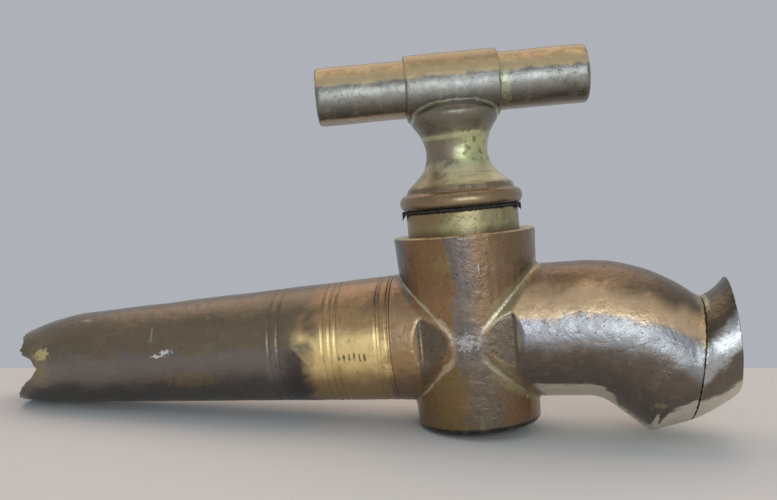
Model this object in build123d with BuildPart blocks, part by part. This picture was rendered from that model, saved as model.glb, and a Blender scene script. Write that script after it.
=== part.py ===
from build123d import *
from math import cos, radians, sin
import os

# Brass cask tap: a hollow body cast round a tapered barrel, a ground plug that
# turns in the barrel, and a T handle on the plug. Millimetres, +Z up the plug
# axis, +X along the waterway towards the mouth. The origin is where the two cross.

os.makedirs("parts", exist_ok=True)

# ---------- barrel ----------
BARREL_TOP = 33.6
BARREL_BOTTOM = -29.7
BARREL_TOP_R = 23.3
BARREL_BOTTOM_R = 20.2
RIM_EDGE = 0.6
BASE_EDGE = 1.5
RECESS_R = 16.9
RECESS_TOP = -21.3
NEAR = 0.1

# ---------- plug ----------
PLUG_TOP = 41.0
PLUG_TOP_R = 18.4
PLUG_BOTTOM = -21.5
PLUG_BOTTOM_R = 15.2
PLUG_FIT = 0.05
PORT_R = 8.0
SQUARE = 12.0
UPPER_SQUARE_TOP = 61.0
SOCKET_SPARE = 0.5
LOWER_SQUARE_END = -23.6
STUD_R = 4.8
STUD_END = -28.9

# ---------- plug retention, under the plug ----------
WASHER_R = 16.4
WASHER_TOP = -21.7
WASHER_THICK = 2.0
NUT_SIZE = 16.0
NUT_THICK = 4.6
NUT_CORNER = 1.5
NUT_TURN = 18.0
SLIP = 0.05

# ---------- tail ----------
WAIST_R = 21.55
TAIL_START = -17.0
TAIL_START_R = 21.4
TAIL_END = -174.0
TAIL_END_R = 14.4
TAIL_WALL = 3.1
TAIL_BORE_END = -26.0
TAIL_BORE_R = 14.5
BORE_NOSE = 6.0
GROOVE_SETS = ((-65.1, (0.0, 3.1)), (-46.7, (0.0, 2.4, 4.4)), (-29.0, (0.0, 1.0, 3.6, 4.6)))
GROOVE_HALF = 0.35
GROOVE_DEPTH = 0.35
CUT = 30.0
# What is missing at the torn end, as (x, z) down from the top: a deep notch in the
# front wall, and a back wall that reaches further out.
TEAR_START = ((-190, CUT), (-134, CUT), (-134, 16.4))
FRONT_TEAR = ((-146, 14.4), (-155, 11.6), (-157.5, 9), (-157.8, 7.2), (-161, 4.8), (-160.5, 2.9),
              (-155, 2.4), (-153, 0.4), (-154.5, -1.6), (-160, -4.4), (-163.5, -8.4), (-163.5, -11.6),
              (-160, -14.2), (-160, -CUT))
BACK_TEAR = ((-146, 14.6), (-158, 11.6), (-163, 8.4), (-169, 4), (-173.4, 0.6), (-172.6, -0.8),
             (-167.7, -3.6), (-166.4, -7.4), (-167.4, -11), (-164, -14), (-164, -CUT))
TEAR_END = ((-190, -CUT),)

# ---------- flats beside the barrel ----------
FLAT_START = 5.0
FLAT_END = 14.6
FLAT_DEPTH = 2.0
SCOOP_END = 18.2
SCOOP_LIFT = 0.4

# ---------- handle ----------
HANDLE_ANGLE = 10.0
BAR_Z = 81.8
BAR_R = 9.6
BAR_HALF = 44.2
BAR_EDGE = 1.2
HUB_R = 11.0
HUB_HALF = 15.3
HUB_EDGE = 0.4
COLLAR_BOTTOM = 42.0
COLLAR_R = 19.0
# stem outline upwards from the collar, as (radius, z): bead, ledge above it, neck, crease, bulb
BEAD = ((20.3, 44.5), (18.8, 46.9))
LEDGE = (17.7, 47.3)
NECK = ((17.3, 48.8), (13.8, 51.9), (11.4, 54.9), (10.2, 59.5), (10.7, 63.4), (11.2, 64.6))
BULB = ((11.2, 64.6), (12.3, 67.1), (14.6, 70.6), (15.0, 72.4), (13.6, 74.3), (9.0, 75.8), (0.0, 76.2))
PIN_R = 1.6
HEAD_PIN_Z = 56.5
HEAD_PIN_REACH = 10.9
PIN_HOLE_REACH = 30.0
LEATHER_R = 18.9

# ---------- spout sections, square to the flow ----------
# (x, z, degrees that the flow points below +X, half height, half width)
SPOUT_ROOT = (2.0, 0.0, 0.0, 21.55, 21.55)
SPOUT_BEND = (35.0, -0.7, 0.0, 22.0, 21.6)
BEND_CENTRE_Z = -34.8
BEND_ANGLE = 41.0
# the bend runs straight on by this much, and is kept only inside a tube from HEEL_TRIM
# to NOSE_JOINT, which leaves the pointed heel
RUN_ON = 40.0
HEEL_TRIM = (48.0, -7.0, 10.0, 30.4, 23.0)
HEEL = (63.9, -14.1, 23.6, 23.0, 21.0)
NOSE_JOINT = (69.9, -12.9, 10.0, 19.9, 20.8)
NOSE_MIDDLE = (77.2, -9.4, 3.5, 18.9, 18.9)
MOUTH = (81.6, -6.0, -0.8, 18.6, 18.6)
SPOUT_WALL = 3.6
NOSE_WALL = 3.0
LIP_WALL = 1.3


def tube(sections, walls):
    """Solid lofted through spout sections, each drawn in by its own wall."""
    with BuildPart() as piece:
        for (x, z, below, half_height, half_width), wall in zip(sections, walls):
            flow = Vector(cos(radians(below)), 0, -sin(radians(below)))
            with BuildSketch(Plane(origin=(x, 0, z), x_dir=(0, 1, 0), z_dir=flow)):
                Ellipse(half_width - wall, half_height - wall)
        loft()
    return piece.part


def elbow(wall):
    """Solid bent down out of the straight spout, drawn in by the wall."""
    x, z, below, half_height, half_width = SPOUT_BEND
    with BuildPart() as piece:
        with BuildSketch(Plane(origin=(x, 0, z), x_dir=(0, 1, 0), z_dir=(1, 0, 0))):
            Ellipse(half_width - wall, half_height - wall)
        revolve(axis=Axis((x, 0, BEND_CENTRE_Z), (0, 1, 0)), revolution_arc=BEND_ANGLE)
    return piece.part


def turned(points, axis):
    """Solid turned about the axis from an outline in the XZ plane."""
    with BuildPart() as piece:
        with BuildSketch(Plane.XZ):
            with BuildLine():
                Polyline(*points, close=True)
            make_face()
        revolve(axis=axis)
    return piece.part


def along(direction, origin):
    return Plane(origin=origin, z_dir=direction)


bar_way = Vector(cos(radians(HANDLE_ANGLE)), sin(radians(HANDLE_ANGLE)), 0)
back_way = Vector(-sin(radians(HANDLE_ANGLE)), cos(radians(HANDLE_ANGLE)), 0)
plug_slope = (PLUG_TOP_R - PLUG_BOTTOM_R) / (BARREL_TOP - PLUG_BOTTOM)

# ---------- body: tail, barrel and elbow in one casting ----------
tail_slope = (TAIL_START_R - TAIL_END_R) / (TAIL_START - TAIL_END)
tail_cone = turned([(0, 0), (0, WAIST_R), (TAIL_START, TAIL_START_R), (TAIL_END, TAIL_END_R),
                    (TAIL_END, 0)], Axis.X)
grooves = []
for set_x, lines in GROOVE_SETS:
    for step in lines:
        x = set_x + step
        r = TAIL_START_R + tail_slope * (x - TAIL_START)
        line = [(x - GROOVE_HALF, r + 0.1), (x, r - GROOVE_DEPTH), (x + GROOVE_HALF, r + 0.1)]
        grooves.append(turned(line, Axis.X))
spout_straight = tube((SPOUT_ROOT, SPOUT_BEND), (0, 0))
bend_radius = SPOUT_BEND[1] - BEND_CENTRE_Z
bend_end = (SPOUT_BEND[0] + bend_radius * sin(radians(BEND_ANGLE)),
            BEND_CENTRE_Z + bend_radius * cos(radians(BEND_ANGLE)),
            BEND_ANGLE, SPOUT_BEND[3], SPOUT_BEND[4])
spout_heel = [tube((bend_end, HEEL), (0, 0)), tube((HEEL, NOSE_JOINT), (0, 0))]
run_end = (bend_end[0] + RUN_ON * cos(radians(BEND_ANGLE)),
           bend_end[1] - RUN_ON * sin(radians(BEND_ANGLE)), *bend_end[2:])
spout_run = tube((bend_end, run_end), (0, 0)) & tube((HEEL_TRIM, NOSE_JOINT), (0, 0))
barrel = turned([(0, BARREL_BOTTOM), (BARREL_BOTTOM_R, BARREL_BOTTOM), (BARREL_TOP_R, BARREL_TOP),
                 (0, BARREL_TOP)], Axis.Z)
waterway = [
    turned([(TAIL_END - 2, 0), (TAIL_END - 2, TAIL_END_R - TAIL_WALL), (TAIL_BORE_END, TAIL_BORE_R),
            (TAIL_BORE_END + BORE_NOSE, PORT_R), (0, PORT_R), (0, 0)], Axis.X),
    elbow(SPOUT_WALL),
    tube((bend_end, HEEL), (SPOUT_WALL, SPOUT_WALL)),
    tube((HEEL, NOSE_JOINT), (SPOUT_WALL, NOSE_WALL)),
]
spout_bore = tube(((0, 0, 0, PORT_R, PORT_R), SPOUT_BEND), (0, SPOUT_WALL))
plug_seat = turned([(0, PLUG_BOTTOM - 1), (PLUG_BOTTOM_R + PLUG_FIT - plug_slope, PLUG_BOTTOM - 1),
                    (PLUG_TOP_R + PLUG_FIT + plug_slope, BARREL_TOP + 1), (0, BARREL_TOP + 1)], Axis.Z)

with BuildPart() as cock_body:
    add(tail_cone)
    add(grooves, mode=Mode.SUBTRACT)
    for tear, side in ((FRONT_TEAR, 1), (BACK_TEAR, -1)):
        with BuildSketch(Plane.XZ):
            with BuildLine():
                Polyline(*TEAR_START, *tear, *TEAR_END, close=True)
            make_face()
        extrude(amount=side * CUT, mode=Mode.SUBTRACT)
    add([spout_straight, elbow(0), spout_heel[0], spout_heel[1], spout_run])
    # sloping flats with scooped ends, left and right, front and back
    for side in (1, -1):
        for face in (1, -1):
            with BuildSketch(Plane.XY.offset(-WAIST_R)):
                with BuildLine():
                    Polyline((side * FLAT_START, face * WAIST_R),
                             (side * FLAT_END, face * (WAIST_R - FLAT_DEPTH)),
                             (side * SCOOP_END, face * (WAIST_R + SCOOP_LIFT)),
                             (side * SCOOP_END, face * CUT),
                             (side * FLAT_START, face * CUT), close=True)
                make_face()
            extrude(amount=2 * WAIST_R, mode=Mode.SUBTRACT)
    add(barrel)
    add(waterway + [spout_bore, plug_seat], mode=Mode.SUBTRACT)
    with BuildSketch(Plane.XY.offset(BARREL_BOTTOM)):
        Circle(RECESS_R)
    extrude(amount=RECESS_TOP - BARREL_BOTTOM, mode=Mode.SUBTRACT)
    circles = cock_body.edges().filter_by(GeomType.CIRCLE)
    rim = circles.filter_by_position(Axis.Z, BARREL_TOP - NEAR, BARREL_TOP + NEAR)
    chamfer(rim.sort_by(SortBy.RADIUS)[-1:], RIM_EDGE)
    circles = cock_body.edges().filter_by(GeomType.CIRCLE)
    base = circles.filter_by_position(Axis.Z, BARREL_BOTTOM - NEAR, BARREL_BOTTOM + NEAR)
    fillet(base.sort_by(SortBy.RADIUS)[-1:], BASE_EDGE)
    cock_body.part.label = "cock_body"
export_step(cock_body.part, "parts/cock_body.step")

# ---------- nose: the flared mouth piece brazed to the elbow ----------
with BuildPart() as spout_nose:
    add(tube((NOSE_JOINT, NOSE_MIDDLE, MOUTH), (0, 0, 0)))
    add(tube((NOSE_JOINT, NOSE_MIDDLE, MOUTH), (NOSE_WALL, NOSE_WALL, LIP_WALL)), mode=Mode.SUBTRACT)
    spout_nose.part.label = "spout_nose"
export_step(spout_nose.part, "parts/spout_nose.step")

# ---------- plug: ground taper with the port across it ----------
with BuildPart() as plug:
    add(turned([(0, PLUG_BOTTOM), (PLUG_BOTTOM_R, PLUG_BOTTOM), (PLUG_TOP_R, BARREL_TOP),
                (PLUG_TOP_R, PLUG_TOP), (0, PLUG_TOP)], Axis.Z))
    with BuildSketch(along(bar_way, (0, 0, 0))):
        Circle(PORT_R)
    extrude(amount=2 * PLUG_TOP_R, both=True, mode=Mode.SUBTRACT)
    for start, end in ((PLUG_TOP, UPPER_SQUARE_TOP), (PLUG_BOTTOM, LOWER_SQUARE_END)):
        with BuildSketch(Plane.XY.offset(start)):
            Rectangle(SQUARE, SQUARE, rotation=HANDLE_ANGLE)
        extrude(amount=end - start)
    with BuildSketch(Plane.XY.offset(LOWER_SQUARE_END)):
        Circle(STUD_R)
    extrude(amount=STUD_END - LOWER_SQUARE_END)
    # hole for the head pin, drilled from the back as far as the axis
    with BuildSketch(along(back_way, (0, 0, HEAD_PIN_Z))):
        Circle(PIN_R + SLIP)
    extrude(amount=PIN_HOLE_REACH, mode=Mode.SUBTRACT)
    plug.part.label = "plug"
export_step(plug.part, "parts/plug.step")

# ---------- leather washer, squeezed out unevenly between plug and collar ----------
with BuildPart() as leather_washer:
    with BuildSketch(Plane.XY.offset(PLUG_TOP)):
        Circle(LEATHER_R)
        Rectangle(SQUARE + 2 * SLIP, SQUARE + 2 * SLIP, rotation=HANDLE_ANGLE, mode=Mode.SUBTRACT)
    extrude(amount=COLLAR_BOTTOM - PLUG_TOP)
    leather_washer.part.label = "leather_washer"
export_step(leather_washer.part, "parts/leather_washer.step")

# ---------- stem head: collar, neck, bulb and the hub that holds the bar ----------
with BuildPart() as stem_head:
    with BuildSketch(Plane.XZ):
        with BuildLine():
            Line((0, COLLAR_BOTTOM), (COLLAR_R, COLLAR_BOTTOM))
            ThreePointArc((COLLAR_R, COLLAR_BOTTOM), *BEAD)
            Line(BEAD[-1], LEDGE)
            Line(LEDGE, NECK[0])
            Spline(*NECK)
            Spline(*BULB)
            Line(BULB[-1], (0, COLLAR_BOTTOM))
        make_face()
    revolve(axis=Axis.Z)
    with BuildSketch(along(bar_way, (0, 0, BAR_Z))):
        Circle(HUB_R)
    extrude(amount=HUB_HALF, both=True)
    circles = stem_head.edges().filter_by(GeomType.CIRCLE)
    chamfer(circles.filter_by(lambda edge: abs(edge.radius - HUB_R) < NEAR), HUB_EDGE)
    with BuildSketch(along(bar_way, (0, 0, BAR_Z))):
        Circle(BAR_R + SLIP)
    extrude(amount=2 * HUB_HALF, both=True, mode=Mode.SUBTRACT)
    with BuildSketch(Plane.XY.offset(COLLAR_BOTTOM)):
        Rectangle(SQUARE + 2 * SLIP, SQUARE + 2 * SLIP, rotation=HANDLE_ANGLE)
    extrude(amount=UPPER_SQUARE_TOP + SOCKET_SPARE - COLLAR_BOTTOM, mode=Mode.SUBTRACT)
    with BuildSketch(along(back_way, (0, 0, HEAD_PIN_Z))):
        Circle(PIN_R + SLIP)
    extrude(amount=PIN_HOLE_REACH, mode=Mode.SUBTRACT)
    with BuildSketch(along(back_way, (0, 0, BAR_Z))):
        Circle(PIN_R + SLIP)
    extrude(amount=PIN_HOLE_REACH, mode=Mode.SUBTRACT)
    stem_head.part.label = "stem_head"
export_step(stem_head.part, "parts/stem_head.step")

# ---------- cross bar ----------
with BuildPart() as cross_bar:
    with BuildSketch(along(bar_way, (0, 0, BAR_Z))):
        Circle(BAR_R)
    extrude(amount=BAR_HALF, both=True)
    fillet(cross_bar.edges().filter_by(GeomType.CIRCLE), BAR_EDGE)
    with BuildSketch(along(back_way, (0, 0, BAR_Z))):
        Circle(PIN_R + SLIP)
    extrude(amount=PIN_HOLE_REACH, mode=Mode.SUBTRACT)
    cross_bar.part.label = "cross_bar"
export_step(cross_bar.part, "parts/cross_bar.step")

# ---------- drive pins, set from the back and dressed off flush ----------
with BuildPart() as head_pin:
    with BuildSketch(along(back_way, (0, 0, HEAD_PIN_Z))):
        Circle(PIN_R)
    extrude(amount=HEAD_PIN_REACH)
    head_pin.part.label = "head_pin"
export_step(head_pin.part, "parts/head_pin.step")

with BuildPart() as bar_pin:
    with BuildSketch(along(back_way, (0, 0, BAR_Z))):
        Circle(PIN_R)
    extrude(amount=HUB_R)
    bar_pin.part.label = "bar_pin"
export_step(bar_pin.part, "parts/bar_pin.step")

# ---------- washer and nut that draw the plug down into its seat ----------
with BuildPart() as bottom_washer:
    with BuildSketch(Plane.XY.offset(WASHER_TOP)):
        Circle(WASHER_R)
        Rectangle(SQUARE + 2 * SLIP, SQUARE + 2 * SLIP, rotation=HANDLE_ANGLE, mode=Mode.SUBTRACT)
    extrude(amount=-WASHER_THICK)
    bottom_washer.part.label = "bottom_washer"
export_step(bottom_washer.part, "parts/bottom_washer.step")

with BuildPart() as bottom_nut:
    with BuildSketch(Plane.XY.offset(WASHER_TOP - WASHER_THICK)):
        RectangleRounded(NUT_SIZE, NUT_SIZE, NUT_CORNER, rotation=HANDLE_ANGLE + NUT_TURN)
        Circle(STUD_R + SLIP, mode=Mode.SUBTRACT)
    extrude(amount=-NUT_THICK)
    bottom_nut.part.label = "bottom_nut"
export_step(bottom_nut.part, "parts/bottom_nut.step")
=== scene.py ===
import math

import bmesh
import bpy
from mathutils import Matrix, Vector, noise


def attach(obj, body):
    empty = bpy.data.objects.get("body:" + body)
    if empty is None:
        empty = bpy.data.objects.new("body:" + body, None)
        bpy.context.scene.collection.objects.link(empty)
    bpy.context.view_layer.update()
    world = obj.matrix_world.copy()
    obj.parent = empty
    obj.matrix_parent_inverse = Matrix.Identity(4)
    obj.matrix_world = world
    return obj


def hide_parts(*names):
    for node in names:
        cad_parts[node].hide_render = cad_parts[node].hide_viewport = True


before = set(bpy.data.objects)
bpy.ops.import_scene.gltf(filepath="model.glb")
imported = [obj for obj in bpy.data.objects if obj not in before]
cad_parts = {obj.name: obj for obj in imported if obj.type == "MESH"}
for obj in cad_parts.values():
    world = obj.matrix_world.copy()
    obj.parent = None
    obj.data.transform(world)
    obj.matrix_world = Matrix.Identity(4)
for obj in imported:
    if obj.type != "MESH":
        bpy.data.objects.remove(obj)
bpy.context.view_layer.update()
MM = 0.001

# ---------------------------------------------------------------- camera, floor, lights
# Camera: place in mm in the part's frame, turned about Z, tipped down, then rolled, in degrees.
CAMERA_PLACE = (28.2, -297.5, 47.2)
CAMERA_YAW = -10.29
CAMERA_PITCH = 3.33
CAMERA_ROLL = -5.33
CAMERA_LENS = 41.7
CAMERA_SENSOR = 36
CAMERA_NEAR = 0.01

# The tap lies on the floor on its tail and the barrel's edge, so its own Z leans.
# Lean and turn in degrees, drop in mm, the rest in metres. The floor fades over each pair.
FLOOR_LEAN = 5.9
FLOOR_DROP = -31.7
FLOOR_HALF = 0.75
FLOOR_BACK_TURN = -12.26
FLOOR_BACK_EDGE = (0.0926, 0.0934)
FLOOR_REACH = (0.45, 0.70)
FLOOR_DARK = (0.74, 0.740, 0.715)
FLOOR_PALE = (0.77, 0.765, 0.740)
STUDIO = (0.425, 0.440, 0.475, 1)

# A wide low cool light above the camera, and a very large warm one behind and above.
FLASH_PLACE = (0.125, -0.427, 0.105)
FLASH_TARGET = (0.03, 0, 0.01)
FLASH_SIZE = (0.28, 0.135)
FLASH_POWER = 0.62
FLASH_COLOUR = (0.84, 0.93, 1.0)
KEY_PLACE = (-0.05, 0.38, 0.90)
KEY_TARGET = (0, 0, 0)
KEY_SIZE = (1.2, 0.9)
KEY_POWER = 3.9
KEY_COLOUR = (1.0, 0.72, 0.50)


def basis_from_angles(yaw, pitch, roll):
    """Columns right, up and back of a camera turned, tipped down and rolled."""
    yaw, pitch, roll = (math.radians(a) for a in (yaw, pitch, roll))
    level = math.cos(pitch)
    ahead = Vector((math.sin(yaw) * level, math.cos(yaw) * level, -math.sin(pitch)))
    level_right = Vector((math.cos(yaw), -math.sin(yaw), 0))
    level_up = level_right.cross(ahead)
    right = math.cos(roll) * level_right + math.sin(roll) * level_up
    up = math.cos(roll) * level_up - math.sin(roll) * level_right
    return Matrix((right, up, -ahead)).transposed()


def make_camera():
    data = bpy.data.cameras.new("camera")
    data.lens = CAMERA_LENS
    data.sensor_width = CAMERA_SENSOR
    data.clip_start = CAMERA_NEAR
    camera = bpy.data.objects.new("camera", data)
    turn = basis_from_angles(CAMERA_YAW, CAMERA_PITCH, CAMERA_ROLL).to_4x4()
    camera.matrix_world = Matrix.Translation(Vector(CAMERA_PLACE) * MM) @ turn
    bpy.context.scene.collection.objects.link(camera)
    bpy.context.scene.camera = camera


def area_light(name, place, target, size, power, colour):
    data = bpy.data.lights.new(name, "AREA")
    data.shape = "RECTANGLE"
    data.size, data.size_y = size
    data.energy = power
    data.color = colour
    light = bpy.data.objects.new(name, data)
    place, target = Vector(place), Vector(target)
    light.location = place
    light.rotation_mode = "QUATERNION"
    light.rotation_quaternion = (place - target).to_track_quat("Z", "Y")
    bpy.context.scene.collection.objects.link(light)


def make_world():
    world = bpy.data.worlds.new("studio")
    world.use_nodes = True
    nodes, links = world.node_tree.nodes, world.node_tree.links
    nodes.clear()
    out = nodes.new("ShaderNodeOutputWorld")
    shade = nodes.new("ShaderNodeBackground")
    shade.inputs["Color"].default_value = STUDIO
    shade.inputs["Strength"].default_value = 1.0
    links.new(shade.outputs[0], out.inputs[0])
    bpy.context.scene.world = world


# ---------------------------------------------------------------- node building
COAT_ROUGH = 0.24
COAT_IOR = 1.6
STREAK_ROUGH = 0.6


class Nodes:
    """Short calls for building one material's node tree.

    This attribute is how strongly a zone paints the floor's reflection onto an underside, as pale
    beige.
    A zone function may set it, and brass() then makes the metal there less metallic.
    """

    def __init__(self, name):
        self.material = bpy.data.materials.new(name)
        self.material.use_nodes = True
        self.tree = self.material.node_tree
        self.tree.nodes.clear()
        self.place = self.new("ShaderNodeTexCoord").outputs["Object"]
        # Painted reflection of the lit floor on undersides; zone functions set it.
        self.painted_reflection = 0.0

    def new(self, kind, **settings):
        node = self.tree.nodes.new(kind)
        for key, value in settings.items():
            setattr(node, key, value)
        return node

    def put(self, socket, value):
        if isinstance(value, bpy.types.NodeSocket):
            self.tree.links.new(value, socket)
        else:
            socket.default_value = value

    def maths(self, kind, a, b=0.0, c=0.0):
        node = self.new("ShaderNodeMath", operation=kind)
        for socket, value in zip(node.inputs, (a, b, c)):
            self.put(socket, value)
        return node.outputs[0]

    def plus(self, a, b):
        return self.maths("ADD", a, b)

    def minus(self, a, b):
        return self.maths("SUBTRACT", a, b)

    def times(self, a, b):
        return self.maths("MULTIPLY", a, b)

    def size(self, value):
        return self.maths("ABSOLUTE", value)

    def hypot(self, a, b):
        return self.maths("SQRT", self.plus(self.times(a, a), self.times(b, b)))

    def past(self, value, start):
        """How far a value is past a start, and zero before it."""
        return self.maths("MAXIMUM", self.minus(value, start), 0.0)

    def sway(self, texture, width):
        """A texture shifted to swing about zero, as wide as asked."""
        return self.times(self.minus(texture, 0.5), width)

    def vector_maths(self, kind, a, b=(0, 0, 0)):
        node = self.new("ShaderNodeVectorMath", operation=kind)
        self.put(node.inputs[0], a)
        node.inputs[1].default_value = b
        return node.outputs

    def stretch(self, scale, turn=(0, 0, 0)):
        node = self.new("ShaderNodeMapping")
        self.put(node.inputs["Vector"], self.place)
        node.inputs["Scale"].default_value = scale
        node.inputs["Rotation"].default_value = [math.radians(a) for a in turn]
        return node.outputs[0]

    def noise(self, per_metre, detail, rough, warp=0.0, at=None):
        node = self.new("ShaderNodeTexNoise")
        self.put(node.inputs["Vector"], at or self.place)
        node.inputs["Scale"].default_value = per_metre
        node.inputs["Detail"].default_value = detail
        node.inputs["Roughness"].default_value = rough
        node.inputs["Distortion"].default_value = warp
        return node.outputs["Fac"]

    def streaks(self, per_metre, detail, warp=0.0):
        """Noise with its own rate along each axis."""
        return self.noise(1, detail, STREAK_ROUGH, warp, self.stretch(per_metre))

    def band(self, value, low, high, bottom=0.0, top=1.0):
        """Smooth step from bottom to top as value goes from low to high."""
        node = self.new("ShaderNodeMapRange", interpolation_type="SMOOTHSTEP")
        for socket, part in zip(node.inputs, (value, low, high, bottom, top)):
            self.put(socket, part)
        return node.outputs[0]

    def near(self, value, at, far, close, top=1.0):
        """Zero where value is far from a place, rising to top close by it."""
        return self.band(self.size(self.minus(value, at)), far, close, 0.0, top)

    def mix(self, amount, a, b):
        node = self.new("ShaderNodeMix", data_type="RGBA")
        self.put(node.inputs[0], amount)
        for socket, value in ((node.inputs[6], a), (node.inputs[7], b)):
            self.put(socket, value if isinstance(value, bpy.types.NodeSocket) else (*value, 1.0))
        return node.outputs[2]

    def ladder(self, value, tones):
        """First tone, then for each step the next tone as value passes from one end to the other."""
        colour, *steps = tones
        for low, high, tone in steps:
            colour = self.mix(self.band(value, low, high), colour, tone)
        return colour

    def axes(self, of=None):
        node = self.new("ShaderNodeSeparateXYZ")
        self.put(node.inputs[0], of or self.place)
        return node.outputs

    def slope(self):
        """How far a surface faces up: 1 on top, -1 underneath."""
        return self.axes(self.new("ShaderNodeNewGeometry").outputs["Normal"])[2]

    def edges(self):
        return self.new("ShaderNodeNewGeometry").outputs["Pointiness"]

    def bump(self, height, depth, below=None):
        node = self.new("ShaderNodeBump")
        node.inputs["Strength"].default_value = 1.0
        node.inputs["Distance"].default_value = depth
        self.put(node.inputs["Height"], height)
        if below is not None:
            self.put(node.inputs["Normal"], below)
        return node.outputs[0]

    def away(self, centre, radii):
        """Distance from a centre in mm, counted in the given radii."""
        offset = self.vector_maths("SUBTRACT", self.place, [c * MM for c in centre])[0]
        scaled = self.vector_maths("DIVIDE", offset, [r * MM for r in radii])[0]
        return self.vector_maths("LENGTH", scaled)["Value"]

    def patch(self, colour, texture, centre, radii, tint, strength, ragged):
        """Colour with one ragged, broken spot of another tint laid on it."""
        edge = self.plus(self.away(centre, radii), self.sway(texture, ragged))
        return self.mix(self.band(edge, 1.0, 0.5, 0.0, strength), colour, tint)

    def finish(self, colour, rough, metal, normal, coat=0.0):
        shader = self.new("ShaderNodeBsdfPrincipled")
        self.put(shader.inputs["Base Color"], colour)
        self.put(shader.inputs["Roughness"], rough)
        self.put(shader.inputs["Metallic"], metal)
        shader.inputs["Coat Weight"].default_value = coat
        shader.inputs["Coat Roughness"].default_value = COAT_ROUGH
        shader.inputs["Coat IOR"].default_value = COAT_IOR
        self.put(shader.inputs["Normal"], normal)
        self.put(shader.inputs["Coat Normal"], normal)
        return self.end(shader)

    def end(self, shader):
        out = self.new("ShaderNodeOutputMaterial")
        self.tree.links.new(shader.outputs[0], out.inputs["Surface"])
        return self.material


# ---------------------------------------------------------------- brass
DARK_BROWN = (0.070, 0.055, 0.045)
PALE_GOLD = (0.80, 0.62, 0.33)
CHALK = (0.60, 0.56, 0.36)

# Noises: features per metre, detail, roughness and warp.
BROAD = (55, 3, 0.6, 0.6)
MOTTLE = (260, 6, 0.62, 0.4)
GRAIN = (2200, 5, 0.65)
TORN = (700, 5, 0.7)
FRECKLES = (900, 3, 0.6)
PITS = (560, 2, 0.5, 0.8)
DRAWN_ALONG_X = (90, 900, 900)

# Where patina, rubbed edges and creases start and are full, as levels of a noise or of the
# surface's pointiness. Four numbers are two levels, then the strength at each.
PATINA = (0.36, 0.64)
MOTTLED = (0.50, 0.80, 0.0, 0.30)
STREAKED = (0.60, 0.72, 0.0, 0.25)
FRECKLED = (0.66, 0.76, 0.0, 0.35)
PITTED = (0.66, 0.70)
RUBBED = (0.53, 0.62)
RUBBED_BROKEN = (0.30, 0.55, 0.35, 1.0)
CREASED = (0.486, 0.44)
CRUST_BROKEN = (0.34, 0.6)
CRUST_LEAST = 0.3
SHINE = (0.3, 0.75)
SMOOTHER = 0.06
ROUGHER = 0.14
CRUST_ROUGHER = 0.3
METALLIC = 0.92
LOST_TO_CRUST = 0.75
LOST_TO_PAINTED_REFLECTION = 0.7
PIT_DEPTH = 0.00016
MOTTLE_DEPTH = 0.00022
GRAIN_DEPTH = 0.000035


def brass(name, dark, mid, light, zones=None, patches=(),
          wear=0.6, deposit=0.5, rough=0.36, pits=1.0, coat=0.6):
    """Old brass: two scales of patina, rubbed edges, pale deposit in the hollows."""
    n = Nodes(name)
    broad = n.noise(*BROAD)
    mottle = n.noise(*MOTTLE)
    colour = n.mix(n.band(broad, *PATINA), dark, mid)
    if zones:
        colour = zones(n, colour, broad, mottle)
    colour = stained(n, colour, mottle, light)
    torn = n.noise(*TORN)
    for spot in patches:
        colour = n.patch(colour, torn, *spot)
    rubbed = n.band(n.edges(), *RUBBED, 0.0, wear)
    rubbed = n.times(rubbed, n.band(mottle, *RUBBED_BROKEN))
    colour = n.mix(rubbed, colour, PALE_GOLD)
    broken = n.band(mottle, *CRUST_BROKEN, CRUST_LEAST * deposit, deposit)
    crust = n.times(n.band(n.edges(), *CREASED), broken)
    colour = n.mix(crust, colour, CHALK)
    shine = n.band(mottle, *SHINE, rough - SMOOTHER, rough + ROUGHER)
    roughness = n.plus(shine, n.times(crust, CRUST_ROUGHER))
    metal = n.minus(METALLIC, n.times(crust, LOST_TO_CRUST))
    # Less metallic where a zone paints the floor's reflection on an underside.
    metal = n.minus(metal, n.times(n.painted_reflection, LOST_TO_PAINTED_REFLECTION))
    return n.finish(colour, roughness, metal, relief(n, mottle, pits), coat)


def stained(n, colour, mottle, light):
    """Lighter mottling and long streaks, with dark freckles over them."""
    colour = n.mix(n.band(mottle, *MOTTLED), colour, light)
    streak = n.band(n.streaks(DRAWN_ALONG_X, 3), *STREAKED)
    colour = n.mix(streak, colour, light)
    freckle = n.band(n.noise(*FRECKLES), *FRECKLED)
    return n.mix(freckle, colour, DARK_BROWN)


def relief(n, mottle, pits):
    """Small pits, a shallow mottle and a fine grain, as one bump."""
    spots = n.band(n.noise(*PITS), *PITTED)
    normal = n.bump(n.times(spots, -1.0), PIT_DEPTH * pits)
    normal = n.bump(mottle, MOTTLE_DEPTH * pits, normal)
    return n.bump(n.noise(*GRAIN), GRAIN_DEPTH, normal)


# ---------------------------------------------------------------- zones of colour
# A ladder is its first tone, then steps: where each next tone starts, where it is full, in
# metres, and the tone. Any other pair is where a zone starts and where it is full: in metres,
# or for an UNDERSIDE in slope, -1 facing straight down. BROKEN is how a noise breaks a zone
# up: two levels of the noise, then the strength at each.
# Pale beige painted on undersides as a reflection of the lit floor.
FLOOR_REFLECTION_BEIGE = (0.62, 0.55, 0.42)
COPPER = (0.46, 0.290, 0.130)
DULL_COPPER = (0.27, 0.165, 0.085)
SILT = (0.37, 0.30, 0.155)
PALE_SILT = (0.60, 0.52, 0.33)
PALE_GREEN = (0.52, 0.53, 0.31)

# How much a zone's tone covers what is under it.
NEARLY_ALL = 0.9
MOSTLY = 0.85
LARGELY = 0.8
PARTLY = 0.75

# Copper either side of the grooves beside the barrel, by height.
STUB = (COPPER, (0.008, 0.014, DULL_COPPER), (-0.006, -0.012, DULL_COPPER))
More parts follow.
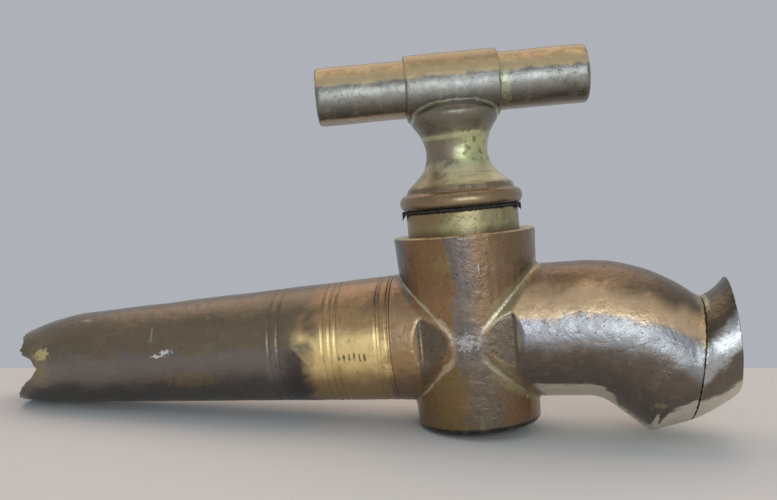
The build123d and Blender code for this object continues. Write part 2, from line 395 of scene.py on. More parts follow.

# Elbow by height: dark below as painted shade, grey across the middle as a painted highlight, then a
# golden band and a dark top.
# The barrel by x: its upper part and the part below the tubes, each with a grey middle painted as a
# highlight streak.
ELBOW_PAINTED_SHADE_AND_HIGHLIGHT = ((0.115, 0.098, 0.084),
         (-0.006, 0.000, (0.29, 0.305, 0.330)),
         (0.006, 0.009, (0.80, 0.570, 0.330)),
         (0.012, 0.018, (0.105, 0.072, 0.036)))
BARREL_UPPER_WITH_PAINTED_STREAK = ((0.10, 0.095, 0.095),
                (-0.021, -0.016, (0.27, 0.140, 0.052)),
                (-0.006, -0.002, (0.175, 0.145, 0.130)),
                (0.003, 0.007, (0.25, 0.150, 0.072)))
BARREL_LOWER_WITH_PAINTED_STREAK = ((0.24, 0.150, 0.045),
                (-0.004, 0.002, (0.175, 0.140, 0.095)),
                (0.008, 0.013, (0.27, 0.140, 0.055)))
# Near-black painted along the barrel's bottom edge as shade.
BASE_SHADE_BLACK = (0.022, 0.019, 0.021)
# Dark brown painted on the sunk flats as shade.
FLAT_SHADE_BROWN = (0.115, 0.086, 0.058)

BODY_WOBBLE = 0.012
BEND_FROM = 0.034
BEND_LIFT = 10.0
CURL_FROM = 0.050
CURL_LIFT = 10.0
UNDERSIDE = (-0.66, -0.72)
PAST_BARREL = (0.016, 0.022)
STUB_EDGE = (-0.0125, -0.0155)
BARREL_EDGE = (0.0236, 0.0250)
BARREL_WAIST = (-0.004, -0.014)
BARREL_STREAKS = (300, 300, 90)
STREAK_WOBBLE = 0.014
BASE_HEIGHT = (-0.0274, -0.0281)
BASE_END = (0.026, 0.024)
RIM_HEIGHT = (0.0329, 0.0332)
RIM_BROKEN = (0.35, 0.55, 0.1, 0.7)

# The valleys where barrel and tubes meet, and the flats between them.
BARREL_WAIST_R = 0.02165
BARREL_SLOPE = 0.049
TUBE_WAIST_R = 0.02155
FLAT_ENDS = (0.0165, 0.0150)
OUT_OF_BARREL = (0.0219, 0.0223)
UNDER_TUBE = (0.02145, 0.0212)
VALLEY_WOBBLE = 0.0018
VALLEY_LINE = (0.0006, 0.0001)
VALLEY_SILT = (0.0030, 0.0012)
OFF_CENTRE = (0.0025, 0.0060)
SPOUT_SIDE = (0.005, 0.011)


def body_zones(n, colour, broad, mottle):
    """Barrel orange-brown with a grey middle painted as a highlight streak; elbow dark below as
    painted shade, grey across the middle as a painted highlight, golden on the shoulder and dark on
    top. Undersides get a painted floor reflection, and the base edge and the flats get painted
    shade.
    """
    x, y, z = n.axes()
    wobble = n.sway(broad, BODY_WOBBLE)
    xw = n.plus(x, wobble)
    zw = n.plus(z, wobble)
    bend = n.past(x, BEND_FROM)
    height = n.plus(zw, n.times(n.times(bend, bend), BEND_LIFT))
    # Painted shade and highlight: the elbow is dark below and grey across the middle.
    colour = n.mix(MOSTLY, colour, n.ladder(height, ELBOW_PAINTED_SHADE_AND_HIGHLIGHT))
    curl = n.times(n.past(x, CURL_FROM), CURL_LIFT)
    # Painted reflection: undersides past the barrel turn pale beige for the lit floor they face;
    # further along the spout, steeper faces count too.
    reflected_underside = n.band(n.minus(n.slope(), curl), *UNDERSIDE, 0.0, MOSTLY)
    n.painted_reflection = n.times(reflected_underside, n.band(x, *PAST_BARREL))
    colour = n.mix(n.painted_reflection, colour, FLOOR_REFLECTION_BEIGE)
    stub = n.band(xw, *STUB_EDGE, 0.0, NEARLY_ALL)
    colour = n.mix(stub, colour, n.ladder(zw, STUB))
    from_plug_axis = n.hypot(x, y)
    from_tube_axis = n.hypot(y, z)
    colour = barrel_tones(n, colour, xw, zw, from_plug_axis)
    # Painted shade along the barrel's bottom edge.
    base_shade = n.times(n.band(z, *BASE_HEIGHT), n.band(x, *BASE_END))
    colour = n.mix(base_shade, colour, BASE_SHADE_BLACK)
    valley = valley_distance(n, z, from_plug_axis, from_tube_axis, mottle)
    silt = n.times(n.band(valley, *VALLEY_SILT), n.band(x, *SPOUT_SIDE, 0.0, LARGELY))
    colour = n.mix(silt, colour, SILT)
    # Painted shade: the sunk flats between the valleys turn dark brown.
    shaded_flats = n.times(n.band(n.size(x), *FLAT_ENDS), n.band(from_plug_axis, *OUT_OF_BARREL))
    shaded_flats = n.times(shaded_flats, n.band(from_tube_axis, *UNDER_TUBE))
    colour = n.mix(n.times(shaded_flats, NEARLY_ALL), colour, FLAT_SHADE_BROWN)
    rim = n.times(n.band(z, *RIM_HEIGHT), n.band(mottle, *RIM_BROKEN))
    colour = n.mix(rim, colour, PALE_GOLD)
    line = n.times(n.band(valley, *VALLEY_LINE, 0.0, LARGELY), n.band(n.size(x), *OFF_CENTRE))
    return n.mix(line, colour, PALE_SILT)


def barrel_tones(n, colour, xw, zw, from_plug_axis):
    """Upright bands of brown and grey on the barrel, with streaky edges; the grey middle band is a
    painted highlight streak.
    """
    across = n.plus(xw, n.sway(n.streaks(BARREL_STREAKS, 4, 0.8), STREAK_WOBBLE))
    # The grey middle step of both ladders is a painted highlight streak.
    upper, lower = n.ladder(across, BARREL_UPPER_WITH_PAINTED_STREAK), n.ladder(across, BARREL_LOWER_WITH_PAINTED_STREAK)
    panel = n.mix(n.band(zw, *BARREL_WAIST), upper, lower)
    on_barrel = n.band(from_plug_axis, *BARREL_EDGE, 1.0, 0.0)
    return n.mix(n.times(on_barrel, NEARLY_ALL), colour, panel)


def valley_distance(n, z, from_plug_axis, from_tube_axis, mottle):
    """Distance off the line where the barrel's cone meets the tubes, a little uneven."""
    barrel_face = n.maths("MULTIPLY_ADD", z, BARREL_SLOPE, BARREL_WAIST_R)
    off_barrel = n.size(n.minus(from_plug_axis, barrel_face))
    off_tube = n.size(n.minus(from_tube_axis, TUBE_WAIST_R))
    return n.plus(n.plus(off_barrel, off_tube), n.sway(mottle, VALLEY_WOBBLE))


# Mouth piece, by height above a line that falls along the spout: brown below, a silvery band across
# the middle that is a painted highlight, dark olive above.
NOSE_WITH_PAINTED_HIGHLIGHT = ((0.135, 0.110, 0.085),
        (-0.0185, -0.0155, (0.52, 0.53, 0.54)),
        (-0.0090, -0.0050, (0.055, 0.042, 0.018)))
NOSE_WOBBLE = 0.008
NOSE_MIDDLE = 0.070
NOSE_FALL = 0.9
NOSE_UNDERSIDE = (-0.52, -0.60)


def nose_zones(n, colour, broad, mottle):
    """Brown below, a painted silvery highlight across the middle, dark olive above, and a painted
    reflection of the floor in pale beige underneath.
    """
    x, _, z = n.axes()
    fall = n.times(n.minus(x, NOSE_MIDDLE), NOSE_FALL)
    level = n.plus(n.minus(z, fall), n.sway(mottle, NOSE_WOBBLE))
    # The silvery step of the ladder is a painted highlight.
    colour = n.mix(MOSTLY, colour, n.ladder(level, NOSE_WITH_PAINTED_HIGHLIGHT))
    # Painted reflection of the lit floor on the underside, in pale beige.
    n.painted_reflection = n.band(n.slope(), *NOSE_UNDERSIDE, 0.0, MOSTLY)
    return n.mix(n.painted_reflection, colour, FLOOR_REFLECTION_BEIGE)


# Tail by height: the driven length, dark below as painted shade and grey across the middle as a
# painted highlight;
# and the bright length beside the barrel, rubbed bright, its brightest band across the middle a
# painted highlight.
DRIVEN_SHADE_AND_HIGHLIGHT = ((0.105, 0.088, 0.075),
          (-0.010, -0.004, (0.205, 0.178, 0.165)),
          (0.000, 0.005, (0.190, 0.145, 0.074)),
          (0.010, 0.015, (0.115, 0.086, 0.046)))
BRIGHT_WITH_HIGHLIGHT = ((0.42, 0.270, 0.115),
          (-0.012, -0.004, (0.98, 0.740, 0.330)),
          (0.002, 0.008, (0.46, 0.300, 0.130)),
          (0.010, 0.016, (0.24, 0.155, 0.080)))
SMUDGE = (0.050, 0.044, 0.043)
BARE = (0.30, 0.180, 0.075)
TAIL_WOBBLE = 0.014
RAGGED = (75, 4, 0.55, 0.6)
RAGGED_WIDTH = 0.026
BRIGHT_EDGE = (-0.0560, -0.0480)
COPPER_EDGE = (-0.0290, -0.0245)
SMUDGE_ALONG = (-0.066, -0.056)
SMUDGE_HEIGHT = (0.006, -0.002)
BARE_STREAKS = (380, 380, 200)
BARE_BROKEN = (0.58, 0.66, 0.0, 0.4)


def tail_zones(n, colour, broad, mottle):
    """Along the driven part dark below as painted shade, grey across the middle as a painted
    highlight, olive and darker above; near the barrel rubbed bright, with a painted highlight across
    the middle.
    """
    x, _, z = n.axes()
    zw = n.plus(z, n.sway(broad, TAIL_WOBBLE))
    # Painted shade below and a painted highlight across the middle of the driven part.
    colour = n.mix(LARGELY, colour, n.ladder(zw, DRIVEN_SHADE_AND_HIGHLIGHT))
    smudge = n.times(n.band(x, *SMUDGE_ALONG), n.band(zw, *SMUDGE_HEIGHT, 0.0, MOSTLY))
    colour = n.mix(smudge, colour, SMUDGE)
    ragged = n.plus(x, n.sway(n.noise(*RAGGED), RAGGED_WIDTH))
    copper = n.band(ragged, *COPPER_EDGE, 0.0, NEARLY_ALL)
    # The brightest step is rubbed metal with a painted highlight on it.
    warm = n.mix(copper, n.ladder(zw, BRIGHT_WITH_HIGHLIGHT), n.ladder(zw, STUB))
    bare = n.band(n.streaks(BARE_STREAKS, 4, 0.3), *BARE_BROKEN)
    warm = n.mix(bare, warm, BARE)
    return n.mix(n.band(ragged, *BRIGHT_EDGE), colour, warm)


# Neck: brown at its left, green at its right, bright at its foot.
NECK_BROWN = (0.24, 0.205, 0.140)
NECK_GREEN = (0.60, 0.63, 0.30)
NECK_BRIGHT = (0.92, 0.86, 0.52)
NECK_MOSS = (0.20, 0.19, 0.075)
RING_BROWN = (0.25, 0.155, 0.075)
TARNISH = (0.22, 0.150, 0.070)
STEM_WOBBLE = 0.010
NECK_FOOT = (0.0485, 0.0505)
NECK_TOP = (0.069, 0.066)
NECK_BROKEN = (0.30, 0.55, 0.6, 0.95)
NECK_RIGHT = (-0.001, 0.004)
NECK_LOW = (0.0575, 0.0535)
MOSS_FOOT = (0.0555, 0.0575)
MOSS = (420, 4, 0.6)
MOSS_BROKEN = (0.52, 0.60, 0.0, 0.8)
RING_RATES = (60, 60, 1100)
RINGS_BROKEN = (0.55, 0.64, 0.0, 0.6)
RING_TOP = (0.054, 0.051)
TARNISH_TOP = (0.0565, 0.0525)
TARNISH_SIDE = (-0.001, -0.007)


def neck_tones(n, colour, x, z, mottle):
    """Verdigris over the neck, with turned rings and tarnish at its foot."""
    wobble = n.sway(mottle, STEM_WOBBLE)
    xw = n.plus(x, wobble)
    right = n.band(xw, *NECK_RIGHT)
    green = n.mix(right, NECK_BROWN, NECK_GREEN)
    green = n.mix(n.band(n.plus(z, wobble), *NECK_LOW), green, NECK_BRIGHT)
    moss = n.times(right, n.band(n.noise(*MOSS), *MOSS_BROKEN))
    green = n.mix(n.times(moss, n.band(z, *MOSS_FOOT)), green, NECK_MOSS)
    neck = n.times(n.band(z, *NECK_FOOT), n.band(z, *NECK_TOP))
    colour = n.mix(n.times(neck, n.band(mottle, *NECK_BROKEN)), colour, green)
    rings = n.band(n.streaks(RING_RATES, 3, 0.2), *RINGS_BROKEN)
    colour = n.mix(n.times(rings, n.band(z, *RING_TOP)), colour, RING_BROWN)
    tarnish = n.times(n.band(z, *TARNISH_TOP), n.band(xw, *TARNISH_SIDE, 0.0, PARTLY))
    return n.mix(tarnish, colour, TARNISH)


# Stem: the ledge over the bead, the bead, the crease over the neck, the bulb, and the arc
# where the bulb meets the hub round the bar. Ledge, crease and arc are each a place, then how
# far off it they start and are full.
LEDGE_BROWN = (0.20, 0.130, 0.060)
BEAD_BROWN = (0.29, 0.190, 0.090)
# Dark brown painted under the bead as the shade in its undercut.
COLLAR_UNDERSIDE_SHADE = (0.10, 0.080, 0.060)
BULB_GREY = (0.140, 0.136, 0.105)
LEDGE = (0.0482, 0.0012, 0.0005)
LEDGE_BROKEN = (0.45, 0.52, 0.0, 0.85)
BEAD_TOP = (0.0482, 0.0470)
COLLAR_FOOT = (0.0434, 0.0426)
CREASE = (0.0647, 0.0010, 0.0003)
CREASE_BROKEN = (0.3, 0.5, 0.5, 1.0)
BULB_FOOT = (0.0655, 0.0665)
BULB_TOP = (0.0735, 0.0715)
BAR_AXIS_Z = 0.0818
BAR_TURN = math.radians(10)
ARC = (0.0119, 0.0008, 0.0003)
ARC_BROKEN = (0.30, 0.50, 0.4, 0.9)


def stem_zones(n, colour, broad, mottle):
    """Green on the neck, brown on the bead with painted shade under it, and the hub gold above as a
    painted reflection and dark below as painted shade.
    """
    x, y, z = n.axes()
    colour = neck_tones(n, colour, x, z, mottle)
    ledge = n.times(n.near(z, *LEDGE), n.band(mottle, *LEDGE_BROKEN))
    colour = n.mix(ledge, colour, LEDGE_BROWN)
    colour = n.mix(n.times(n.band(z, *BEAD_TOP), MOSTLY), colour, BEAD_BROWN)
    # Painted shade under the bead.
    colour = n.mix(n.band(z, *COLLAR_FOOT), colour, COLLAR_UNDERSIDE_SHADE)
    crease = n.times(n.near(z, *CREASE, NEARLY_ALL), n.band(mottle, *CREASE_BROKEN))
    colour = n.mix(crease, colour, PALE_GREEN)
    bulb = n.times(n.band(z, *BULB_FOOT), n.band(z, *BULB_TOP))
    colour = n.mix(n.times(bulb, PARTLY), colour, BULB_GREY)
    colour = hub_tones(n, colour, x, z, mottle)
    side = n.minus(n.times(y, math.cos(BAR_TURN)), n.times(x, math.sin(BAR_TURN)))
    off_bar = n.hypot(side, n.minus(z, BAR_AXIS_Z))
    arc = n.times(n.near(off_bar, *ARC), n.band(mottle, *ARC_BROKEN))
    return n.mix(arc, colour, PALE_GREEN)


# Hub and bar by height: dark at the bottom and grey up to the middle as painted shade and highlight,
# gold on the upper shoulder as a painted reflection, brown on top.
HUB_PAINTED_SHADE_AND_REFLECTION = ((0.085, 0.082, 0.072),
       (0.0755, 0.0795, (0.24, 0.24, 0.225)),
       (0.0835, 0.0848, (0.68, 0.53, 0.28)),
       (0.0865, 0.0895, (0.24, 0.185, 0.085)))
HUB_WOBBLE = 0.0035
HUB_FOOT = (0.0722, 0.0735)
HUB_UNDERSIDE = (-0.80, -0.86)
BAR_LEFT = (-0.0140, -0.0155)


def hub_tones(n, colour, x, z, mottle):
    """Dark at the bottom and grey up to the middle as painted shade and highlight, gold on the upper
    shoulder as a painted reflection, brown on top; pale beige under the bar's left part as a painted
    reflection of the floor.
    """
    # Painted light and shade by height.
    tone = n.ladder(n.plus(z, n.sway(mottle, HUB_WOBBLE)), HUB_PAINTED_SHADE_AND_REFLECTION)
    # Painted reflection of the lit floor under the bar's left part, in pale beige.
    reflected_underside = n.times(n.band(n.slope(), *HUB_UNDERSIDE, 0.0, LARGELY), n.band(x, *BAR_LEFT))
    tone = n.mix(reflected_underside, tone, FLOOR_REFLECTION_BEIGE)
    return n.mix(n.times(n.band(z, *HUB_FOOT), MOSTLY), colour, tone)


def bar_zones(n, colour, broad, mottle):
    x, _, z = n.axes()
    return hub_tones(n, colour, x, z, mottle)


PLUG_CRUST = (0.42, 0.40, 0.21)
PLUG_BROWN = (0.17, 0.12, 0.060)
PLUG_WOBBLE = 0.03
PLUG_RIGHT = (-0.008, -0.002)
PLUG_FOOT = (0.0362, 0.0340)
PLUG_BROKEN = (0.38, 0.58, 0.15, 0.8)
PLUG_FOOT_COVER = 0.6


def plug_zones(n, colour, broad, mottle):
    """Brown at one side and a pale green crust over the rest of the plug."""
    x, _, z = n.axes()
    right = n.band(n.plus(x, n.sway(broad, PLUG_WOBBLE)), *PLUG_RIGHT)
    crust = n.times(right, n.band(mottle, *PLUG_BROKEN))
    colour = n.mix(crust, colour, PLUG_CRUST)
    return n.mix(n.band(z, *PLUG_FOOT, 0.0, PLUG_FOOT_COVER), colour, PLUG_BROWN)


# ---------------------------------------------------------------- other materials
LEATHER_DARK = (0.010, 0.010, 0.009)
LEATHER_PALE = (0.050, 0.045, 0.036)
LEATHER_FIBRES = (900, 6, 0.7, 0.5)
LEATHER_BLEND = (0.35, 0.7)
LEATHER_ROUGH = 0.85
LEATHER_DEPTH = 0.0004
FLOOR_FIBRES = (1500, 3, 0.6)
FLOOR_BLEND = (0.3, 0.7)


def leather_material():
    n = Nodes("leather")
    fibres = n.noise(*LEATHER_FIBRES)
    colour = n.mix(n.band(fibres, *LEATHER_BLEND), LEATHER_DARK, LEATHER_PALE)
    return n.finish(colour, LEATHER_ROUGH, 0.0, n.bump(fibres, LEATHER_DEPTH))


def floor_material():
    """Pale matt sheet that fades into the studio at its back edge and far out."""
    n = Nodes("floor")
    tint = n.mix(n.band(n.noise(*FLOOR_FIBRES), *FLOOR_BLEND), FLOOR_DARK, FLOOR_PALE)
    matt = n.new("ShaderNodeBsdfDiffuse")
    n.put(matt.inputs["Color"], tint)
    far = n.band(n.vector_maths("LENGTH", n.place)["Value"], *FLOOR_REACH)
    behind = n.axes(n.stretch((1, 1, 1), (0, 0, FLOOR_BACK_TURN)))[1]
    faded = n.maths("MAXIMUM", far, n.band(behind, *FLOOR_BACK_EDGE))
    joined = n.new("ShaderNodeMixShader")
    n.put(joined.inputs[0], faded)
    n.put(joined.inputs[1], matt.outputs[0])
    n.put(joined.inputs[2], n.new("ShaderNodeBsdfTransparent").outputs[0])
    return n.end(joined)


def make_floor():
    mesh = bpy.data.meshes.new("floor")
    corners = [(x * FLOOR_HALF, y * FLOOR_HALF, 0) for x, y in ((-1, -1), (1, -1), (1, 1), (-1, 1))]
    mesh.from_pydata(corners, [], [(0, 1, 2, 3)])
    floor = bpy.data.objects.new("floor", mesh)
    floor.location = (0, 0, FLOOR_DROP * MM)
    floor.rotation_euler = (0, math.radians(FLOOR_LEAN), 0)
    mesh.materials.append(floor_material())
    bpy.context.scene.collection.objects.link(floor)


# ---------------------------------------------------------------- worn copies of CAD nodes
# Cast unevenness: height in metres and waves per metre, and how far all of it is sunk.
CAST_WAVES = ((0.00016, 70), (0.00007, 210), (0.00003, 600))
CAST_SINK = 0.00008
ON_THE_CUT = 1e-5


def dress(mesh, material):
    mesh.materials.clear()
    mesh.materials.append(material)
    mesh.shade_smooth()


def link(name, mesh, material):
    piece = bpy.data.objects.new(name, mesh)
    bpy.context.scene.collection.objects.link(piece)
    dress(mesh, material)
    return piece


def waves(start, p, layers):
    """A start value with one noise added for each height and rate."""
    for height, rate in layers:
        start += height * noise.noise(p * rate)
    return start


def cast_unevenness(p):
    """How a cast surface is moved along its normal at p, in metres: inward or not at all."""
    return min(0.0, waves(0.0, p, CAST_WAVES) - CAST_SINK)


def even_mesh(piece, voxel, rounds):
    """Give a piece its own mesh, evenly meshed and with its edges worn round."""
    remesh = piece.modifiers.new("even", "REMESH")
    remesh.mode = "VOXEL"
    remesh.voxel_size = voxel
    ease = piece.modifiers.new("ease", "SMOOTH")
    ease.factor = 0.5
    ease.iterations = rounds
    evaluated = piece.evaluated_get(bpy.context.evaluated_depsgraph_get())
    even = bpy.data.meshes.new_from_object(evaluated)
    piece.modifiers.clear()
    old = piece.data
    piece.data = even
    bpy.data.meshes.remove(old)
    return even


def cut_flat(shape, cut_x):
    """Take away what lies below cut_x and close the cut with a flat face."""
    everything = shape.verts[:] + shape.edges[:] + shape.faces[:]
    cut = bmesh.ops.bisect_plane(shape, geom=everything, plane_co=(cut_x, 0, 0),
                                 plane_no=(-1, 0, 0), clear_outer=True)
    rim = [e for e in cut["geom_cut"] if isinstance(e, bmesh.types.BMEdge)]
    bmesh.ops.triangle_fill(shape, use_beauty=True, edges=rim, normal=(-1, 0, 0))


def soft_copy(node, name, voxel, rounds, material, cut_x=None):
    """Even-meshed copy of a CAD node with its edges worn round and its faces uneven."""
    piece = link(name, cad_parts[node].data.copy(), material)
    even = even_mesh(piece, voxel, rounds)
    shape = bmesh.new()
    shape.from_mesh(even)
    loose = shape.verts
    if cut_x is not None:
        cut_flat(shape, cut_x)
        loose = [v for v in shape.verts if v.co.x > cut_x + ON_THE_CUT]
    shape.normal_update()
    moves = [(v, v.normal * cast_unevenness(v.co)) for v in loose]
    for vert, move in moves:
        vert.co += move
    shape.to_mesh(even)
    shape.free()
    dress(even, material)
    return piece


# ---------------------------------------------------------------- leather
# Tufts: angle from +X and half width in degrees, reach in mm. They grow from the first
# radius to the second, in mm, and droop where they start below a height in mm.
TUFTS = ((188, 15, 1.3), (-6, 10, 1.1), (62, 20, 0.5), (128, 16, 0.6))
TUFT_FROM = 18.5
TUFT_TO = 18.9
TUFT_BELOW = 41.6
TUFT_DROOP = 3.0
SHRED_LEAST = 0.65
SHRED_SWING = 0.9
SHRED_LIFT = 40
SHRED_RATE = 14
RAGGED_EDGE = ((0.25, 11),)


def off_angle(a, b):
    return abs((a - b + 180) % 360 - 180)


def tuft_reach(angle, y):
    """How far the leather sticks out at an angle in degrees, in mm; y shreds the tufts."""
    reach = max(math.exp(-(off_angle(angle, at) / width) ** 2) * most for at, width, most in TUFTS)
    way = math.radians(angle)
    shreds = noise.noise(Vector((math.cos(way), y * SHRED_LIFT, 0)) * SHRED_RATE)
    reach *= SHRED_LEAST + SHRED_SWING * abs(shreds)
    return waves(reach, Vector((math.cos(way), math.sin(way), 0)), RAGGED_EDGE)


def fray(piece):
    """Squeeze tufts of the washer out past the plug, left and right, and let them droop."""
    for vert in piece.data.vertices:
        radius = math.hypot(vert.co.x, vert.co.y)
        tuft = tuft_reach(math.degrees(math.atan2(vert.co.y, vert.co.x)), vert.co.y)
        out = max(0.0, min(1.0, (radius / MM - TUFT_FROM) / (TUFT_TO - TUFT_FROM)))
        stretch = 1 + tuft * out * MM / max(radius, MM)
        vert.co.x *= stretch
        vert.co.y *= stretch
        if vert.co.z < TUFT_BELOW * MM:
            vert.co.z -= TUFT_DROOP * max(0.0, tuft) * out ** 2 * MM


# ---------------------------------------------------------------- tail
# All in mm and degrees. The tail runs along -X and its angles go 0 front, 90 top, 180 back.
TAIL_JOINT = -24.4
TAIL_START_R = 21.4
TAIL_START = -17.0
TAIL_SLOPE = 0.0444
TAIL_WALL = 3.0
AROUND = 300

# Turned grooves by their place along the tail; they have rounded sides and are this deep.
GROOVES = (-65.1, -62.0, -46.7, -44.3, -42.3, -29.0, -28.0, -25.4, -24.4)
GROOVE_DEPTH = 0.34
GROOVE_HALF = 0.30

# Rings: an even gap, and extra ones beside each groove. Rings are at least so far apart.
RING_GAP = 0.9
RING_COUNT = 133
BESIDE_GROOVE = (-0.8, -0.5, -0.3, -0.15, 0, 0.15, 0.3, 0.5, 0.8)
CLEAR_OF_JOINT = 0.1
LEAST_GAP = 0.08
INSIDE_END = -142
INSIDE_GAP = 4

# The lip: rings from here to the torn edge, spread closer at the edge; on the inside they
# stop just short of it. The lip is bent in, most at its top, and gets thinner.
LIP_START = -143
LIP_RINGS = 26
LIP_SPREAD = 1.3
LIP_INSIDE = 0.985
LIP_SMOOTHED = (-2, 4)
BENT_FROM = -138
BENT_OVER = 20
BENT_TOP = 84
BENT_TOP_DEPTH = 2.6
BENT_TOP_POWER = 1.6
BENT_DEPTH = 0.7
LIP_THINNED = 0.25

# Torn end: angle round the tail and where it ends, then finer waves and the furthest end.
TEAR = (
    (-180, -171.8), (-170, -168.6), (-160, -167.4), (-140, -166.6), (-120, -166),
    (-100, -165), (-82, -164.6), (-62, -163.6), (-45, -161.6), (-30, -158.5),
    (-18, -154.5), (-8, -151.8), (0, -151.2), (12, -153.5), (22, -157),
    (35, -157.6), (50, -158.8), (70, -160), (90, -160.5), (110, -162),
    (130, -165), (150, -169), (165, -173), (175, -172.6), (180, -171.8),
)
TEAR_WAVES = ((0.9, 9), (0.45, 27))
TEAR_LIMIT = -173.2


def between(table, at):
    """Value of a table of (key, value) pairs at a key, on a straight line between entries."""
    for (a, low), (b, high) in zip(table, table[1:]):
        if a <= at <= b:
            return low + (high - low) * (at - a) / (b - a)
    return table[-1][1]


def groove_depth(x):
    return sum(GROOVE_DEPTH * math.exp(-((x - g) / GROOVE_HALF) ** 2) for g in GROOVES)


def tail_stations():
    """Places of the outer rings from the joint to the lip, close together at the grooves."""
    near = [g + step for g in GROOVES for step in BESIDE_GROOVE]
    even = [TAIL_JOINT - RING_GAP * i for i in range(1, RING_COUNT)]
    clear = {round(x, 2) for x in even + near if x < TAIL_JOINT - CLEAR_OF_JOINT}
    spaced = [TAIL_JOINT]
    for x in sorted(clear, reverse=True):
        if spaced[-1] - x > LEAST_GAP:
            spaced.append(x)
    return [x for x in spaced if x > LIP_START]


def tail_radius(x, angle, inner):
    cone = TAIL_START_R + TAIL_SLOPE * (x - TAIL_START)
    into = max(0.0, (BENT_FROM - x) / BENT_OVER)
    top = max(0.0, math.cos(math.radians(angle - BENT_TOP))) ** 2
    pinch = BENT_TOP_DEPTH * into ** BENT_TOP_POWER * top + BENT_DEPTH * into ** 2
    thick = TAIL_WALL * (1 - LIP_THINNED * min(1.0, into)) if inner else 0.0
    return cone - pinch - thick - (0.0 if inner else groove_depth(x))


def torn_edge(angle):
    way = math.radians(angle)
    around = Vector((math.cos(way), math.sin(way), 0))
    return max(TEAR_LIMIT, waves(between(TEAR, angle), around, TEAR_WAVES))


def tail_ring(x_at, inner):
    """Points round the tail in metres, at the place along it that x_at gives for each angle."""
    points = []
    for i in range(AROUND):
        angle = -180 + 360 * i / AROUND
        x = x_at(angle)
        way = math.radians(angle)
        p = Vector((x, -math.cos(way), math.sin(way)))
        r = tail_radius(x, angle, inner)
        r = r * MM + cast_unevenness(Vector((x, p.y * r, p.z * r)) * MM)
        points.append((x * MM, p.y * r, p.z * r))
    return points


def tail_rings():
    """Rings out to the lip, over its edge and back inside, and which one is the lip's last."""
    stations = tail_stations()
    last = stations[-1]

    def straight(x):
        return lambda angle: x

    def to_the_tear(part):
        return lambda angle: last + (torn_edge(angle) - last) * part

    rings = [tail_ring(straight(x), False) for x in stations]
    for i in range(1, LIP_RINGS + 1):
        rings.append(tail_ring(to_the_tear(1 - (1 - i / LIP_RINGS) ** LIP_SPREAD), False))
    edge = len(rings) - 1
    for i in range(LIP_RINGS, 0, -1):
        rings.append(tail_ring(to_the_tear(i / LIP_RINGS * LIP_INSIDE), True))
    for x in (*range(INSIDE_END, int(TAIL_JOINT), INSIDE_GAP), TAIL_JOINT):
        rings.append(tail_ring(straight(x), True))
    return rings, edge


def make_tail(material):
    """Tapered tube with turned grooves, ending in a torn and bent lip."""
    rings, edge = tail_rings()
    starts = [i * AROUND for i in range(len(rings))]
    faces = []
    for first, second in zip(starts, starts[1:] + starts[:1]):
        for i in range(AROUND):
            j = (i + 1) % AROUND
            faces.append((first + i, first + j, second + j, second + i))
    mesh = bpy.data.meshes.new("tail")
    mesh.from_pydata([point for ring in rings for point in ring], [], faces)
    mesh.update()
    shape = bmesh.new()
    shape.from_mesh(mesh)
    bmesh.ops.recalc_face_normals(shape, faces=shape.faces)
    shape.verts.ensure_lookup_table()
    first, end = (starts[edge + step] for step in LIP_SMOOTHED)
    for _ in range(2):
        bmesh.ops.smooth_vert(shape, verts=shape.verts[first:end], factor=0.5,
                              use_axis_x=True, use_axis_y=True, use_axis_z=True)
    shape.to_mesh(mesh)
    shape.free()
    return link("tail", mesh, material)


# ---------------------------------------------------------------- the scene
bpy.context.scene.view_settings.view_transform = "Standard"
make_camera()
make_world()
make_floor()
area_light("flash", FLASH_PLACE, FLASH_TARGET, FLASH_SIZE, FLASH_POWER, FLASH_COLOUR)
area_light("key", KEY_PLACE, KEY_TARGET, KEY_SIZE, KEY_POWER, KEY_COLOUR)

# Spots: centre and radii in mm, tint, strength and raggedness.
VERDIGRIS = (0.42, 0.44, 0.22)
WHITE_METAL = (0.80, 0.80, 0.80)
CHIP_GOLD = (0.95, 0.80, 0.34)
BODY_SPOTS = (
    ((5.6, -22, 23), (0.25, 4, 2.4), WHITE_METAL, 0.35, 1.2),
    ((15.9, 0, 0), (1.0, 30, 8.0), (0.46, 0.43, 0.19), 0.95, 0.5),
    ((-14.6, 0, 0), (0.35, 30, 7.2), PALE_SILT, 0.9, 0.4),
    ((-6, -22, 25), (4.2, 5, 3.4), (0.30, 0.24, 0.09), 0.5, 4.0),
    ((0, -21.6, 0), (4.2, 4, 2.6), (0.52, 0.51, 0.50), 0.75, 4.5),
    ((56.5, -17, -23.5), (2.4, 4, 1.6), SILT, 0.6, 5.0),
    ((72.5, 0, 5.5), (3.0, 16, 3.2), VERDIGRIS, 0.55, 1.2),
)
SCRATCH_FROM = -41.5
SCRATCH_STEP = 1.7
SCRATCHES = tuple(
    ((SCRATCH_FROM + SCRATCH_STEP * i, -20, -2.6), (0.45, 4, 1.5), DARK_BROWN, 0.8, 3.0)
    for i in range(6)
)
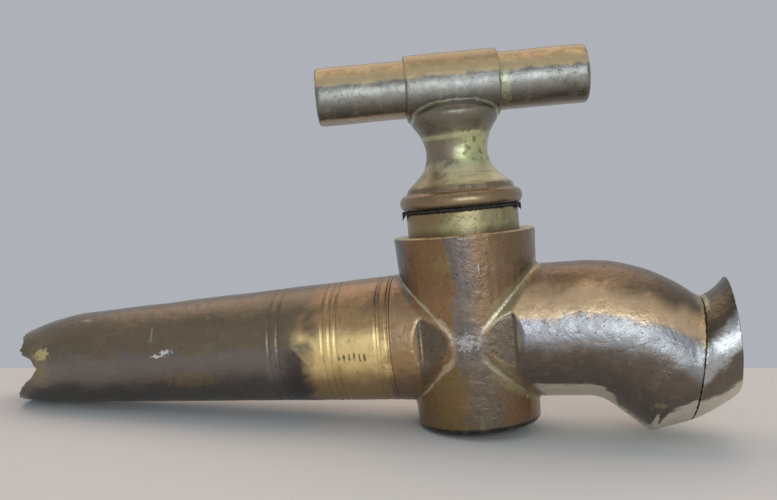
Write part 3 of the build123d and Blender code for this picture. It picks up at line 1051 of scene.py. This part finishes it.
TAIL_SPOTS = (
    ((-148.6, -15, 4.2), (3.4, 4, 2.3), CHIP_GOLD, 1.0, 2.4),
    ((-150, -13, 0), (6, 8, 9), (0.34, 0.28, 0.13), 0.5, 1.4),
    ((-104.6, -17.4, 1.5), (2.4, 4, 0.6), WHITE_METAL, 0.95, 5.0),
    ((-101.6, -17.4, 2.6), (2.4, 4, 0.9), WHITE_METAL, 0.95, 5.0),
    ((-133, -8, 14), (2.2, 5, 0.6), (0.50, 0.45, 0.33), 0.45, 2.4),
    ((-106.8, -15, 8.5), (0.5, 5, 3.6), (0.52, 0.47, 0.38), 0.5, 1.2),
    ((-94, -16, -7.4), (11, 6, 3.6), (0.30, 0.20, 0.08), 0.5, 4.0),
    ((-19.9, -19, -9.7), (0.9, 2, 0.8), CHALK, 0.9, 0.6),
    *SCRATCHES,
)
NOSE_SPOTS = (
    ((73.5, 0, 6.0), (1.6, 18, 3.4), VERDIGRIS, 0.75, 1.2),
)
BAR_SPOTS = (
    ((17.5, 0, 80), (3.0, 14, 8.0), VERDIGRIS, 0.6, 1.8),
)

# Each brass: its dark, middle and light patina, its zones and its spots.
body_brass = brass("body_brass", (0.26, 0.165, 0.085), (0.34, 0.225, 0.12), (0.46, 0.30, 0.15),
                   body_zones, BODY_SPOTS, deposit=0.0, wear=0.0, pits=1.5)
tail_brass = brass("tail_brass", (0.15, 0.125, 0.10), (0.24, 0.20, 0.17), (0.33, 0.27, 0.20),
                   tail_zones, TAIL_SPOTS, deposit=0.25, wear=0.0, rough=0.38)
nose_brass = brass("nose_brass", (0.150, 0.120, 0.060), (0.20, 0.160, 0.085), (0.28, 0.225, 0.12),
                   nose_zones, NOSE_SPOTS, wear=0.8, rough=0.33, pits=1.5)
plug_brass = brass("plug_brass", (0.27, 0.185, 0.085), (0.34, 0.25, 0.12), (0.46, 0.42, 0.24),
                   plug_zones, deposit=0.3, rough=0.42, coat=0.3)
handle_brass = brass("handle_brass", (0.30, 0.265, 0.175), (0.40, 0.335, 0.21), (0.50, 0.43, 0.27),
                     stem_zones, wear=0.1, rough=0.4)
bar_brass = brass("bar_brass", (0.32, 0.280, 0.195), (0.42, 0.350, 0.225), (0.50, 0.42, 0.27),
                  bar_zones, BAR_SPOTS, wear=0.3, deposit=0.2)
pin_brass = brass("pin_brass", (0.2, 0.14, 0.08), (0.3, 0.22, 0.12), (0.5, 0.36, 0.18), pits=0.4)

# Each copy: CAD node, piece, mesh size in metres, rounds of smoothing and material.
tail = make_tail(tail_brass)
core = soft_copy("cock_body", "barrel_and_elbow", 0.00045, 2, body_brass, TAIL_JOINT * MM)
nose = soft_copy("spout_nose", "mouth_piece", 0.00035, 1, nose_brass)
stem = soft_copy("stem_head", "stem_and_hub", 0.0004, 3, handle_brass)
bar = soft_copy("cross_bar", "t_bar", 0.0005, 3, bar_brass)
spindle = soft_copy("plug", "ground_plug", 0.0005, 3, plug_brass)
washer = soft_copy("leather_washer", "ragged_leather", 0.00022, 2, leather_material())
fray(washer)

PIECES = (
    (tail, "body", "cock_body", "body_brass"),
    (core, "body", "cock_body", "body_brass"),
    (nose, "body", "spout_nose", "nose_brass"),
    (stem, "key", "stem_head", "handle_brass"),
    (bar, "key", "cross_bar", "bar_brass"),
    (spindle, "key", "plug", "plug_brass"),
    (washer, "key", "leather_washer", "leather"),
)
for piece, body, node, slot in PIECES:
    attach(piece, body)
    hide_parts(node)

KEPT_CAD = (
    ("head_pin", pin_brass),
    ("bar_pin", pin_brass),
    ("bottom_washer", plug_brass),
    ("bottom_nut", plug_brass),
)
for node, material in KEPT_CAD:
    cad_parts[node].data.materials[0] = material
